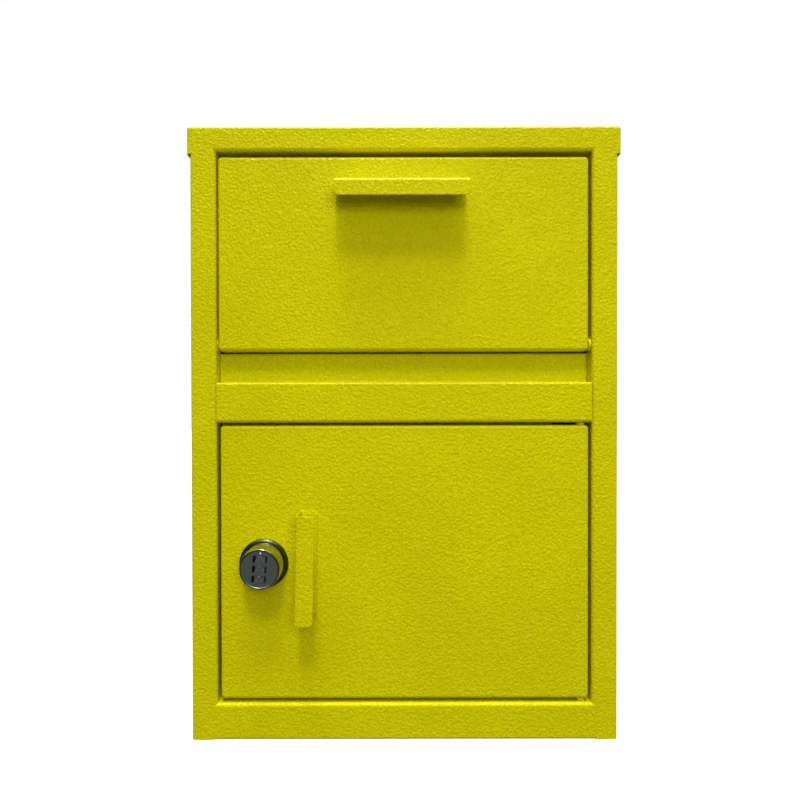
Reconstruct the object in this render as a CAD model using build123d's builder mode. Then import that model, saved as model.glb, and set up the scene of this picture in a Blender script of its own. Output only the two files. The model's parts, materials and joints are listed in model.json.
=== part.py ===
from build123d import *
from math import acos, cos, degrees, radians, sin, tan
import os

os.makedirs("parts", exist_ok=True)

# Parcel drop mailbox in folded sheet steel: a roof hood over a cabinet, a tilting hopper flap
# above, and a lockable collection door below.
# All lengths are in millimetres. X runs to the right as seen from the front, Y to the back and
# Z up. The origin is the centre of the floor bolt pattern, on the underside of the base.

# --- Driving dimensions -----------------------------------------------------------------------

# Sheet metal
SHEET = 1.2               # thickness of every folded sheet
BEND = 3.0                # outside radius of a fold
TIGHT_BEND = 2.0          # the same at the foot of the front and on top of the middle rail
CORNER = 3.2              # radius of a pan's corners, seen from the front
FIT = 0.1                 # gap between neighbouring sheets that are spot welded or slide past
TURN_FIT = 0.05           # radial clearance round a turning pin
HALF = SHEET / 2
MID_BEND = BEND - HALF    # radius of a fold at the middle of the sheet
MID_TIGHT = TIGHT_BEND - HALF

# Cabinet
WIDTH = 348.0
DEPTH = 250.0
HEIGHT = 500.0
WALL = WIDTH / 2          # outer face of a side wall
FRONT = -DEPTH / 2
BACK = DEPTH / 2
BACK_RETURN = 14.0        # depth of the back panel's folded edges
SIDES = (("left", -1), ("right", 1))

# Roof hood
HOOD_OVERHANG = 2.6
HOOD_SKIRT = 22.4
HOOD_EDGE = 2.5           # outside radius of the hood's top edges
HOOD_BOTTOM = HEIGHT - HOOD_SKIRT

# Doorway in the front, and the rail that divides it
DOORWAY_HALF = 153.0      # half the clear width between the stiles
DOORWAY_HEAD = 479.8
DOORWAY_SILL = 29.7
RETURN = 15.0             # depth of the folded returns round the doorway
MITRE_END = DOORWAY_HALF + BEND   # the folds meet at the doorway's corners in mitres out to here
RAIL_TOP = 292.0
RAIL_BOTTOM = 259.1
LEDGE = 14.0              # how far the panel above the rail stands back from the front
LEDGE_PANEL_TOP = 316.3
STOP_DROP = 10.0          # depth of the lips that stop the flap and the door
DOOR_STOP_END = 125.0     # the door's stop lip ends here, clear of the hinge

# Flap and door pans
RECESS = 2.0              # how far both pans stand back from the front
PAN_DEPTH = 15.0
PAN_FRONT = FRONT + RECESS
PAN_BACK = PAN_FRONT + PAN_DEPTH
RUBBER = 1.8              # thickness of the buffer strips
STOP_FACE = PAN_BACK + FIT + RUBBER
FLAP_CENTER = -0.55
FLAP_WIDTH = 303.0
FLAP_BOTTOM = 317.5
FLAP_TOP = 476.15
DOOR_CENTER = 0.18
DOOR_WIDTH = 301.85
DOOR_BOTTOM = 32.4
DOOR_TOP = 257.0

# Pivots
PIVOT_INSET = 5.6             # the hinge axes stand this far inside the pans' faces
PIVOT_Y = PAN_FRONT + PIVOT_INSET
FLAP_PIVOT_Z = FLAP_BOTTOM + PIVOT_INSET
FLAP_WASHER = 5.0             # washer radius
DOOR_PIVOT_INSET = 5.8        # from the door's right edge to its hinge axis
DOOR_PIVOT_X = DOOR_CENTER + DOOR_WIDTH / 2 - DOOR_PIVOT_INSET
DOOR_WASHER = 3.5
PIN = 2.5                     # radius of every hinge pin
PIN_HEAD = 1.4                # thickness of a rivet head
PIN_HEAD_RADIUS = 3.1

# Pull handles, both the same U-shaped channel
HANDLE_REACH = 28.0
HANDLE_FLANGE = 13.8
HANDLE_CORNER = 4.5
FLAP_HANDLE_X = -2.35
FLAP_HANDLE_TOP = 449.5
FLAP_HANDLE_LENGTH = 105.7
DOOR_HANDLE_LEFT = -86.2
DOOR_HANDLE_FLANGE = 14.7
DOOR_HANDLE_Z = 144.2
DOOR_HANDLE_LENGTH = 86.2
DOOR_HANDLE_LEAN = 1.0        # degrees by which its top stands to the right

# Hopper, which tilts with the flap
TRAY_LENGTH = 125.0
TRAY_SLOPE = 35.0             # degrees below level when the flap is shut
TRAY_FOOT = 330.0             # height at which the tray leaves the flap
TRAY_UPSTAND = 15.0
TRAY_HEM = 8.0
CHEEK_GAP = CORNER - SHEET     # the cheeks clear the inside radii of the flap's corners
CHEEK_DEPTH = CHEEK_GAP + 2 * SHEET   # from the flap's edge to a cheek's inner face
CHEEK_INSET = 2.0             # from the flap's front and bottom faces to a cheek's edges
CHEEK_FLANGE = 12.0           # the fold that is welded to the back of the flap
CHEEK_RADIUS = 146.0
CHEEK_STOP = 161.0            # radius of the ear that limits the opening
STOP_EAR = (17.0, 23.0)       # degrees above level at which the ear ends and begins
CHEEK_MARGIN = 4.0            # how far a cheek reaches below and past the tray

# Anti-theft baffle
BAFFLE_HALF_WIDTH = 160.0
BAFFLE_Y = 50.0
BAFFLE_FLANGE = 25.0
BAFFLE_BOTTOM = 404.0
BAFFLE_HEM = 8.0

# Buffer strips
STRIP_HEIGHT = 7.0
STRIP_INSET = 12.0            # from the doorway's edge to the end of a strip

# Combination lock
LOCK_X = -114.8
LOCK_Z = 144.4
LOCK_TILT = 4.0               # degrees by which the knob leans from upright
RING_RADIUS = 20.0
RING_THICKNESS = 3.5
KNOB_RADIUS = 16.0            # at the knob's face
KNOB_BASE = 17.6              # radius at its back, from which it narrows to its face
KNOB_LENGTH = 17.4
KNOB_WALL = 1.2               # thickness of the knob's face
KNOB_PLATE = 2.4              # thickness of the plate that closes the knob from behind
KNOB_PLATE_RADIUS = 13.8
BARREL_RADIUS = 9.5
BARREL_LENGTH = 13.0
LOCK_WASHER = 1.0
LOCK_WASHER_RADIUS = 13.5
LOCK_NUT = 4.5
LOCK_NUT_FLATS = 25.0         # size across the flats
SPINDLE_RADIUS = 5.0
DIAL_RADIUS = 7.5
DIAL_THICKNESS = 5.2
DIAL_PITCH = 7.9
DIAL_FACES = 10
DIAL_INSET = 0.2              # how far the dials' corners stay behind the knob's face
DIAL_ROOM = 0.5               # clearance round the dials inside the knob
DIAL_AXLE = 1.5               # axle radius
DIAL_AXLE_SEAT = 1.2          # how far each end of the axle reaches into the knob
DIAL_WINDOW = (11.0, 5.8)
DIAL_WINDOW_CORNER = 1.0
CAM_LENGTH = 48.0
CAM_RADIUS = 8.0
CAM_THICKNESS = 3.0
CAM_CLEARANCE = 0.6           # from the back of the door to the cam
CAM_SQUARE = 7.0
CAM_STUD = 3.0                # radius of the spindle's threaded end
CAM_STUD_TAIL = 1.2           # what the threaded end shows past its nut
CAM_WASHER = 0.8
CAM_WASHER_RADIUS = 6.5
CAM_NUT = 4.0
CAM_NUT_FLATS = 10.0
STRIKE_HEIGHT = 50.0
STRIKE_LEG = 18.0

# Fixing holes
FLOOR_HOLES = (240.0, 160.0)
FLOOR_HOLE_RADIUS = 4.5
WALL_HOLES = (230.0, 360.0)
WALL_HOLE_RADIUS = 4.25
WALL_HOLES_Z = 245.0


def save(piece, name):
    """Label a finished piece and write it to its own file."""
    piece.part.label = name
    export_step(piece.part, f"parts/{name}.step")


def mitre_cut(side, corner, outward, waste):
    """Face on one side of the mitre at a corner of the doorway, up to where the fold ends.

    The mitre rises (1) or falls (-1) outward, and the waste lies above (1) or below (-1) it."""
    far = corner + waste * DOORWAY_SILL
    Polygon(
        (side * DOORWAY_HALF, corner),
        (side * MITRE_END, corner + outward * BEND),
        (side * MITRE_END, far),
        (side * DOORWAY_HALF, far),
        align=None,
    )


# --- Cabinet ----------------------------------------------------------------------------------

# Each side wall folds round into the front stile, and the stile into a return along the doorway.
for side_name, side in SIDES:
    wall_mid = side * (WALL - HALF)
    return_mid = side * (DOORWAY_HALF + HALF)
    with BuildPart() as side_panel:
        with BuildSketch():
            with BuildLine():
                FilletPolyline(
                    (wall_mid, BACK),
                    (wall_mid, FRONT + HALF),
                    (return_mid, FRONT + HALF),
                    (return_mid, FRONT + RETURN),
                    radius=MID_BEND,
                )
            trace(line_width=SHEET)
        extrude(amount=HEIGHT - SHEET - FIT)
        # The hood's front and rear skirts close over the top of the panel.
        with BuildSketch(Plane.XY.offset(HOOD_BOTTOM)):
            with Locations((side * (MITRE_END + WALL), 0)):
                with GridLocations(0, DEPTH, 1, 2):
                    Rectangle(WIDTH, 2 * HOOD_EDGE)
        extrude(amount=HOOD_SKIRT, mode=Mode.SUBTRACT)
        # The return is mitred into the doorway's sill and head.
        with BuildSketch(Plane.XZ.offset(-FRONT)):
            mitre_cut(side, DOORWAY_SILL, -1, -1)
            mitre_cut(side, DOORWAY_HEAD, 1, 1)
        extrude(amount=-2 * RETURN, mode=Mode.SUBTRACT)
        with BuildSketch(Plane.YZ.offset(side * DOORWAY_HALF)):
            with Locations((PIVOT_Y, FLAP_PIVOT_Z)):
                Circle(PIN + TURN_FIT)
        extrude(amount=side * SHEET, mode=Mode.SUBTRACT)
    save(side_panel, f"{side_name}_side_panel")

# The floor folds up in front into the bottom rail, and back into the doorway's sill.
with BuildPart() as base_pan:
    with BuildSketch(Plane.YZ):
        with BuildLine():
            FilletPolyline(
                (FRONT + RETURN, DOORWAY_SILL - HALF),
                (FRONT + HALF, DOORWAY_SILL - HALF),
                (FRONT + HALF, HALF),
                (BACK, HALF),
                radius=(MID_BEND, MID_TIGHT),
            )
        trace(line_width=SHEET)
    extrude(amount=MITRE_END, both=True)
    with BuildSketch(Plane.XZ.offset(-FRONT)):
        for side_name, side in SIDES:
            mitre_cut(side, DOORWAY_SILL, -1, 1)
    extrude(amount=-2 * RETURN, mode=Mode.SUBTRACT)
    # Behind the stiles the floor reaches both side walls.
    floor_front = FRONT + BEND
    with BuildSketch():
        with Locations((0, (floor_front + BACK) / 2)):
            Rectangle(2 * (WALL - SHEET - FIT), BACK - floor_front)
    extrude(amount=SHEET)
    with BuildSketch():
        with GridLocations(*FLOOR_HOLES, 2, 2):
            Circle(FLOOR_HOLE_RADIUS)
    extrude(amount=SHEET, mode=Mode.SUBTRACT)
    with BuildSketch(Plane.XY.offset(DOORWAY_SILL)):
        with Locations((DOOR_PIVOT_X, PIVOT_Y)):
            Circle(PIN + TURN_FIT)
    extrude(amount=-SHEET, mode=Mode.SUBTRACT)
save(base_pan, "base_pan")

# The back is a shallow pan whose edges fold forward inside the side walls.
back_bottom = SHEET + FIT
back_top = HOOD_BOTTOM - FIT
with BuildPart() as back_panel:
    with Locations((0, BACK - BACK_RETURN / 2, (back_bottom + back_top) / 2)):
        Box(2 * (WALL - SHEET - FIT), BACK_RETURN, back_top - back_bottom)
    fillet(back_panel.edges().filter_by(Axis.Y), CORNER)
    fillet(back_panel.faces().sort_by(Axis.Y)[-1].edges(), BEND)
    offset(amount=-SHEET, openings=back_panel.faces().sort_by(Axis.Y)[0])
    with BuildSketch(Plane.XZ.offset(-BACK)):
        with Locations((0, WALL_HOLES_Z)):
            with GridLocations(*WALL_HOLES, 2, 2):
                Circle(WALL_HOLE_RADIUS)
    extrude(amount=SHEET, mode=Mode.SUBTRACT)
save(back_panel, "back_panel")

# The hood overhangs both sides. Over the doorway its front folds back into the head, and down
# again into the lip that stops the flap.
with BuildPart() as roof_hood:
    with Locations((0, 0, HEIGHT - HOOD_SKIRT / 2)):
        Box(2 * (WALL + HOOD_OVERHANG), DEPTH, HOOD_SKIRT)
    fillet(roof_hood.edges().filter_by(Axis.Z), BEND)
    fillet(roof_hood.faces().sort_by(Axis.Z)[-1].edges(), HOOD_EDGE)
    offset(amount=-SHEET, openings=roof_hood.faces().sort_by(Axis.Z)[0])
    with BuildSketch(Plane.XY.offset(HOOD_BOTTOM)):
        with Locations((0, FRONT)):
            Rectangle(2 * MITRE_END, 2 * SHEET)
    extrude(amount=DOORWAY_HEAD + BEND - HOOD_BOTTOM, mode=Mode.SUBTRACT)
    with BuildSketch(Plane.YZ):
        with BuildLine():
            FilletPolyline(
                (FRONT + HALF, DOORWAY_HEAD + 2 * BEND),
                (FRONT + HALF, DOORWAY_HEAD + HALF),
                (STOP_FACE + HALF, DOORWAY_HEAD + HALF),
                (STOP_FACE + HALF, DOORWAY_HEAD - STOP_DROP),
                radius=MID_BEND,
            )
        trace(line_width=SHEET)
    extrude(amount=MITRE_END, both=True)
    with BuildSketch(Plane.XZ.offset(-FRONT)):
        for side_name, side in SIDES:
            mitre_cut(side, DOORWAY_HEAD, 1, -1)
    extrude(amount=-2 * RETURN, mode=Mode.SUBTRACT)
save(roof_hood, "roof_hood")

# The middle rail is one sheet: the panel behind the flap's lower edge, the ledge, the rail's
# face, its underside and the lip that stops the door.
with BuildPart() as mid_rail:
    with BuildSketch(Plane.YZ):
        with BuildLine():
            FilletPolyline(
                (FRONT + LEDGE + HALF, LEDGE_PANEL_TOP),
                (FRONT + LEDGE + HALF, RAIL_TOP - HALF),
                (FRONT + HALF, RAIL_TOP - HALF),
                (FRONT + HALF, RAIL_BOTTOM + HALF),
                (STOP_FACE + HALF, RAIL_BOTTOM + HALF),
                (STOP_FACE + HALF, RAIL_BOTTOM - STOP_DROP),
                radius=(MID_BEND, MID_TIGHT, MID_BEND, MID_BEND),
            )
        trace(line_width=SHEET)
    extrude(amount=DOORWAY_HALF - FIT, both=True)
    with BuildSketch(Plane.XY.offset(RAIL_BOTTOM + SHEET)):
        with Locations((DOORWAY_HALF + DOOR_STOP_END, STOP_FACE)):
            Rectangle(2 * DOORWAY_HALF, 2 * BEND)
    extrude(amount=-STOP_DROP - 2 * SHEET, mode=Mode.SUBTRACT)
    with BuildSketch(Plane.XY.offset(RAIL_BOTTOM)):
        with Locations((DOOR_PIVOT_X, PIVOT_Y)):
            Circle(PIN + TURN_FIT)
    extrude(amount=SHEET, mode=Mode.SUBTRACT)
save(mid_rail, "mid_rail")

# A hanging plate under the roof keeps a hand that reaches over the hopper from going further.
baffle_top = HEIGHT - SHEET - FIT - HALF
with BuildPart() as anti_theft_baffle:
    with BuildSketch(Plane.YZ):
        with BuildLine():
            FilletPolyline(
                (BAFFLE_Y + BAFFLE_FLANGE, baffle_top),
                (BAFFLE_Y, baffle_top),
                (BAFFLE_Y, BAFFLE_BOTTOM + BAFFLE_HEM),
                (BAFFLE_Y + BAFFLE_HEM, BAFFLE_BOTTOM),
                radius=MID_BEND,
            )
        trace(line_width=SHEET)
    extrude(amount=BAFFLE_HALF_WIDTH, both=True)
save(anti_theft_baffle, "anti_theft_baffle")

# An angle inside the left stile, which the lock's cam turns behind.
strike_y = FRONT + RETURN + FIT + HALF
strike_wall = -(WALL - SHEET - FIT - HALF)
with BuildPart() as lock_strike:
    with BuildSketch(Plane.XY.offset(LOCK_Z - STRIKE_HEIGHT / 2)):
        with BuildLine():
            FilletPolyline(
                (-DOORWAY_HALF, strike_y),
                (strike_wall, strike_y),
                (strike_wall, strike_y + STRIKE_LEG),
                radius=MID_BEND,
            )
        trace(line_width=SHEET)
    extrude(amount=STRIKE_HEIGHT)
save(lock_strike, "lock_strike")

# Rubber strips on both stop lips.
strips = (
    ("flap_buffer_strip", -DOORWAY_HALF + STRIP_INSET, DOORWAY_HALF - STRIP_INSET, DOORWAY_HEAD),
    ("door_buffer_strip", -DOORWAY_HALF + STRIP_INSET, DOOR_STOP_END - BEND, RAIL_BOTTOM),
)
for strip_name, strip_left, strip_right, lip_root in strips:
    with BuildPart() as buffer_strip:
        with Locations(
            (
                (strip_left + strip_right) / 2,
                STOP_FACE - RUBBER / 2,
                lip_root - STOP_DROP + HALF + STRIP_HEIGHT / 2,
            )
        ):
            Box(strip_right - strip_left, RUBBER, STRIP_HEIGHT)
        fillet(buffer_strip.edges().group_by(Axis.Y)[0].filter_by(Axis.X), HALF)
    save(buffer_strip, strip_name)


# --- Flap pivots and door hinge ---------------------------------------------------------------

def flap_edge(side):
    """X of the flap's outer edge on one side."""
    return FLAP_CENTER + side * FLAP_WIDTH / 2


def add_pin(start, end):
    """A pin along local Z from start to end, with a rivet head at each end."""
    with Locations((0, 0, (start + end) / 2)):
        Cylinder(PIN, end - start)
    for head in (start + PIN_HEAD / 2, end - PIN_HEAD / 2):
        with Locations((0, 0, head)):
            Cylinder(PIN_HEAD_RADIUS, PIN_HEAD)


# Each flap pin is riveted into the stile's return, and the flap and its cheek turn on it.
with BuildPart() as flap_pivot_pins:
    for side_name, side in SIDES:
        inner_end = abs(flap_edge(side)) - CHEEK_DEPTH - FIT - PIN_HEAD
        outer_end = DOORWAY_HALF + SHEET + FIT + PIN_HEAD
        with Locations(Location((0, PIVOT_Y, FLAP_PIVOT_Z), (0, side * 90, 0))):
            add_pin(inner_end, outer_end)
save(flap_pivot_pins, "flap_pivot_pins")

with BuildPart() as flap_pivot_washers:
    for side_name, side in SIDES:
        washer_start = abs(flap_edge(side)) + FIT
        with BuildSketch(Plane.YZ.offset(side * washer_start)):
            with Locations((PIVOT_Y, FLAP_PIVOT_Z)):
                Circle(FLAP_WASHER)
                Circle(PIN + TURN_FIT, mode=Mode.SUBTRACT)
        extrude(amount=side * (DOORWAY_HALF - FIT - washer_start))
save(flap_pivot_washers, "flap_pivot_washers")

# The door turns on one pin in the sill and one under the middle rail.
hinge_gaps = ((DOORWAY_SILL, DOOR_BOTTOM), (DOOR_TOP, RAIL_BOTTOM))
with BuildPart() as door_hinge_pins:
    for gap_bottom, gap_top in hinge_gaps:
        with Locations((DOOR_PIVOT_X, PIVOT_Y, 0)):
            add_pin(gap_bottom - SHEET - FIT - PIN_HEAD, gap_top + SHEET + FIT + PIN_HEAD)
save(door_hinge_pins, "door_hinge_pins")

with BuildPart() as door_hinge_washers:
    for gap_bottom, gap_top in hinge_gaps:
        with BuildSketch(Plane.XY.offset(gap_bottom + FIT)):
            with Locations((DOOR_PIVOT_X, PIVOT_Y)):
                Circle(DOOR_WASHER)
                Circle(PIN + TURN_FIT, mode=Mode.SUBTRACT)
        extrude(amount=gap_top - gap_bottom - 2 * FIT)
save(door_hinge_washers, "door_hinge_washers")


# --- Flap and hopper --------------------------------------------------------------------------

with BuildPart() as flap_panel:
    with Locations((FLAP_CENTER, (PAN_FRONT + PAN_BACK) / 2, (FLAP_BOTTOM + FLAP_TOP) / 2)):
        Box(FLAP_WIDTH, PAN_DEPTH, FLAP_TOP - FLAP_BOTTOM)
    fillet(flap_panel.edges().filter_by(Axis.Y), CORNER)
    fillet(flap_panel.faces().sort_by(Axis.Y)[0].edges(), BEND)
    offset(amount=-SHEET, openings=flap_panel.faces().sort_by(Axis.Y)[-1])
    with Locations(Location((0, PIVOT_Y, FLAP_PIVOT_Z), (0, 90, 0))):
        Cylinder(PIN + TURN_FIT, WIDTH, mode=Mode.SUBTRACT)
save(flap_panel, "flap_panel")

# Channel handle with its web on top: the rear flange is welded to the flap, and the front
# flange hangs down to be gripped.
handle_back = PAN_FRONT - HALF
handle_front = PAN_FRONT - HANDLE_REACH + HALF
with BuildPart() as flap_handle:
    with BuildSketch(Plane.YZ.offset(FLAP_HANDLE_X - FLAP_HANDLE_LENGTH / 2)):
        with BuildLine():
            FilletPolyline(
                (handle_back, FLAP_HANDLE_TOP - HANDLE_FLANGE),
                (handle_back, FLAP_HANDLE_TOP - HALF),
                (handle_front, FLAP_HANDLE_TOP - HALF),
                (handle_front, FLAP_HANDLE_TOP - HANDLE_FLANGE),
                radius=MID_BEND,
            )
        trace(line_width=SHEET)
    extrude(amount=FLAP_HANDLE_LENGTH)
    fillet(flap_handle.edges().group_by(Axis.Z)[0].filter_by(Axis.Y), HANDLE_CORNER)
save(flap_handle, "flap_handle")

# The tray runs from an upstand on the flap down into the cabinet, with a hem at its end.
tray_y = PAN_FRONT + SHEET + FIT + HALF
tray_end_y = tray_y + TRAY_LENGTH * cos(radians(TRAY_SLOPE))
tray_end_z = TRAY_FOOT - TRAY_LENGTH * sin(radians(TRAY_SLOPE))
tray_half_width = FLAP_WIDTH / 2 - CHEEK_DEPTH - FIT
pin_notch = PIN_HEAD + 4 * FIT
with BuildPart() as hopper_tray:
    with BuildSketch(Plane.YZ.offset(FLAP_CENTER)):
        with BuildLine():
            FilletPolyline(
                (tray_y, TRAY_FOOT + TRAY_UPSTAND),
                (tray_y, TRAY_FOOT),
                (tray_end_y, tray_end_z),
                (tray_end_y, tray_end_z - TRAY_HEM),
                radius=MID_BEND,
            )
        trace(line_width=SHEET)
    extrude(amount=tray_half_width, both=True)
    # Both front corners are notched round the pivot pins' heads.
    for side_name, side in SIDES:
        with BuildSketch(Plane.YZ.offset(FLAP_CENTER + side * tray_half_width)):
            with Locations((PIVOT_Y, FLAP_PIVOT_Z)):
                Circle(2 * FLAP_WASHER)
        extrude(amount=-side * pin_notch, mode=Mode.SUBTRACT)
save(hopper_tray, "hopper_tray")


def round_pivot(radius, angle):
    """A point in the YZ plane at a radius and an angle above level from the flap's pivot."""
    return (
        PIVOT_Y + radius * cos(radians(angle)),
        FLAP_PIVOT_Z + radius * sin(radians(angle)),
    )


# The cheeks are sectors about the pivot, each with a flange behind the flap's face. An ear on
# the rim meets the flap's stop lip from behind when the hopper is fully open.
ear_end, ear_start = STOP_EAR
cheek_front = PAN_FRONT + CHEEK_INSET
cheek_foot = FLAP_BOTTOM + CHEEK_INSET
flange_bottom = TRAY_FOOT + TRAY_UPSTAND + CHEEK_MARGIN
flange_top = FLAP_PIVOT_Z + CHEEK_RADIUS - CHEEK_FLANGE
cheek_heel = PAN_BACK + SHEET
heel_drop = (cheek_heel - tray_y) * tan(radians(TRAY_SLOPE))
rim_end = degrees(acos((cheek_front - PIVOT_Y) / CHEEK_RADIUS))
for side_name, side in SIDES:
    cheek_outer = flap_edge(side) - side * (SHEET + CHEEK_GAP)
    with BuildPart() as hopper_cheek:
        with BuildSketch(Plane.YZ.offset(cheek_outer)):
            with BuildLine():
                rim = CenterArc(
                    (PIVOT_Y, FLAP_PIVOT_Z), CHEEK_RADIUS, ear_start, rim_end - ear_start
                )
                Polyline(
                    rim @ 1,
                    (cheek_front, cheek_foot),
                    (cheek_heel, cheek_foot),
                    (cheek_heel, TRAY_FOOT - heel_drop - CHEEK_MARGIN),
                    (tray_end_y + CHEEK_MARGIN / 2, tray_end_z - CHEEK_MARGIN),
                    round_pivot(CHEEK_RADIUS, ear_end),
                    round_pivot(CHEEK_STOP, ear_end),
                    round_pivot(CHEEK_STOP, ear_start),
                    rim @ 0,
                )
            make_face()
            with Locations((PIVOT_Y, FLAP_PIVOT_Z)):
                Circle(PIN + TURN_FIT, mode=Mode.SUBTRACT)
        extrude(amount=-side * SHEET)
        with Locations(
            (
                cheek_outer - side * CHEEK_FLANGE / 2,
                tray_y,
                (flange_bottom + flange_top) / 2,
            )
        ):
            Box(CHEEK_FLANGE, SHEET, flange_top - flange_bottom)
    save(hopper_cheek, f"{side_name}_hopper_cheek")


# --- Collection door --------------------------------------------------------------------------

with BuildPart() as door_panel:
    with Locations((DOOR_CENTER, (PAN_FRONT + PAN_BACK) / 2, (DOOR_BOTTOM + DOOR_TOP) / 2)):
        Box(DOOR_WIDTH, PAN_DEPTH, DOOR_TOP - DOOR_BOTTOM)
    fillet(door_panel.edges().filter_by(Axis.Y), CORNER)
    fillet(door_panel.faces().sort_by(Axis.Y)[0].edges(), BEND)
    offset(amount=-SHEET, openings=door_panel.faces().sort_by(Axis.Y)[-1])
    with Locations((DOOR_PIVOT_X, PIVOT_Y, HEIGHT / 2)):
        Cylinder(PIN + TURN_FIT, HEIGHT, mode=Mode.SUBTRACT)
    with BuildSketch(Plane.XZ.offset(-PAN_FRONT)):
        with Locations((LOCK_X, LOCK_Z)):
            Circle(BARREL_RADIUS + TURN_FIT)
    extrude(amount=-SHEET, mode=Mode.SUBTRACT)
save(door_panel, "door_panel")

# The same channel upright, with its web on the left and both flanges to the right. It is welded
# on with a slight lean.
handle_lean = radians(DOOR_HANDLE_LEAN)
handle_plane = Plane(
    origin=(DOOR_HANDLE_LEFT, 0, DOOR_HANDLE_Z),
    x_dir=(cos(handle_lean), 0, -sin(handle_lean)),
    z_dir=(sin(handle_lean), 0, cos(handle_lean)),
)
with BuildPart() as door_handle:
    with BuildSketch(handle_plane.offset(-DOOR_HANDLE_LENGTH / 2)):
        with BuildLine():
            FilletPolyline(
                (DOOR_HANDLE_FLANGE, handle_back),
                (HALF, handle_back),
                (HALF, handle_front),
                (DOOR_HANDLE_FLANGE, handle_front),
                radius=MID_BEND,
            )
        trace(line_width=SHEET)
    extrude(amount=DOOR_HANDLE_LENGTH)
    flange_corners = door_handle.edges().filter_by(Axis.Y).filter_by(lambda edge: edge.length < BEND)
    fillet(flange_corners, HANDLE_CORNER)
save(door_handle, "door_handle")


# --- Combination cam lock ---------------------------------------------------------------------

# Places along the lock's axis, from the front of the knob to the end of its nut.
RING_FACE = PAN_FRONT - RING_THICKNESS
KNOB_BACK = RING_FACE - FIT
KNOB_FACE = KNOB_BACK - KNOB_LENGTH
BARREL_END = PAN_FRONT + BARREL_LENGTH
CAM_FRONT = PAN_BACK + CAM_CLEARANCE
CAM_BACK = CAM_FRONT + CAM_THICKNESS
DIAL_AXIS_Y = KNOB_FACE + DIAL_RADIUS - DIAL_INSET

lean = (sin(radians(LOCK_TILT)), 0, cos(radians(LOCK_TILT)))


def lock_plane(y):
    """Upright plane across the lock's axis at a given Y, facing front and leaning with the knob."""
    return Plane(origin=(LOCK_X, y, LOCK_Z), x_dir=(lean[2], 0, -lean[0]), z_dir=(0, -1, 0))


# The ring is the lock's flange: it clamps the door's face against the nut behind it.
with BuildPart() as lock_housing:
    with BuildSketch(lock_plane(PAN_FRONT)):
        Circle(RING_RADIUS)
    extrude(amount=RING_THICKNESS)
    chamfer(lock_housing.edges().sort_by(Axis.Y)[0], HALF)
    with BuildSketch(lock_plane(PAN_FRONT)):
        Circle(BARREL_RADIUS)
    extrude(amount=-BARREL_LENGTH)
    with BuildSketch(lock_plane(BARREL_END)):
        Circle(SPINDLE_RADIUS + TURN_FIT)
    extrude(amount=BARREL_LENGTH + RING_THICKNESS, mode=Mode.SUBTRACT)
save(lock_housing, "lock_housing")

with BuildPart() as lock_washer:
    with BuildSketch(lock_plane(PAN_FRONT + SHEET)):
        Circle(LOCK_WASHER_RADIUS)
        Circle(BARREL_RADIUS + TURN_FIT, mode=Mode.SUBTRACT)
    extrude(amount=-LOCK_WASHER)
save(lock_washer, "lock_washer")

with BuildPart() as lock_nut:
    with BuildSketch(lock_plane(PAN_FRONT + SHEET + LOCK_WASHER)):
        RegularPolygon(radius=LOCK_NUT_FLATS / 2, side_count=6, major_radius=False)
        Circle(BARREL_RADIUS + TURN_FIT, mode=Mode.SUBTRACT)
    extrude(amount=-LOCK_NUT)
save(lock_nut, "lock_nut")

# The knob is hollow behind its face and holds the dials, which show through three windows.
room_width = 2 * (DIAL_RADIUS + DIAL_ROOM)
room_height = 2 * (DIAL_PITCH + DIAL_ROOM) + DIAL_THICKNESS
axle_half_length = room_height / 2 + DIAL_AXLE_SEAT
knob_side = Plane(origin=(LOCK_X, KNOB_BACK, LOCK_Z), x_dir=lean, z_dir=(lean[2], 0, -lean[0]))
with BuildPart() as lock_knob:
    with BuildSketch(knob_side):
        with BuildLine():
            Polyline(
                (0, 0),
                (KNOB_BASE, 0),
                (KNOB_RADIUS, KNOB_LENGTH - HALF),
                (KNOB_RADIUS - HALF, KNOB_LENGTH),
                (0, KNOB_LENGTH),
                close=True,
            )
        make_face()
    revolve(axis=Axis((LOCK_X, KNOB_BACK, LOCK_Z), (0, 1, 0)))
    with BuildSketch(lock_plane(KNOB_BACK)):
        Rectangle(room_width, room_height)
    extrude(amount=KNOB_LENGTH - KNOB_WALL, mode=Mode.SUBTRACT)
    with BuildSketch(lock_plane(KNOB_BACK)):
        Circle(KNOB_PLATE_RADIUS + TURN_FIT)
    extrude(amount=KNOB_PLATE, mode=Mode.SUBTRACT)
    with BuildSketch(lock_plane(KNOB_FACE)):
        with GridLocations(0, DIAL_PITCH, 1, 3):
            RectangleRounded(*DIAL_WINDOW, radius=DIAL_WINDOW_CORNER)
    extrude(amount=-KNOB_WALL, mode=Mode.SUBTRACT)
    # Slots let the axle drop into the knob from behind.
    axle_slot_end = DIAL_AXIS_Y - DIAL_AXLE - TURN_FIT
    with BuildSketch(lock_plane(KNOB_BACK)):
        Rectangle(2 * (DIAL_AXLE + TURN_FIT), 2 * axle_half_length)
    extrude(amount=KNOB_BACK - axle_slot_end, mode=Mode.SUBTRACT)
save(lock_knob, "lock_knob")

with BuildPart() as knob_back_plate:
    with BuildSketch(lock_plane(KNOB_BACK)):
        Circle(KNOB_PLATE_RADIUS)
    extrude(amount=KNOB_PLATE - FIT)
save(knob_back_plate, "knob_back_plate")


def dial_plane(height):
    """Plane across the dials' axle, at a height along it from the lock's axis."""
    origin = (LOCK_X + height * lean[0], DIAL_AXIS_Y, LOCK_Z + height * lean[2])
    return Plane(origin=origin, x_dir=(0, -1, 0), z_dir=lean)


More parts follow.
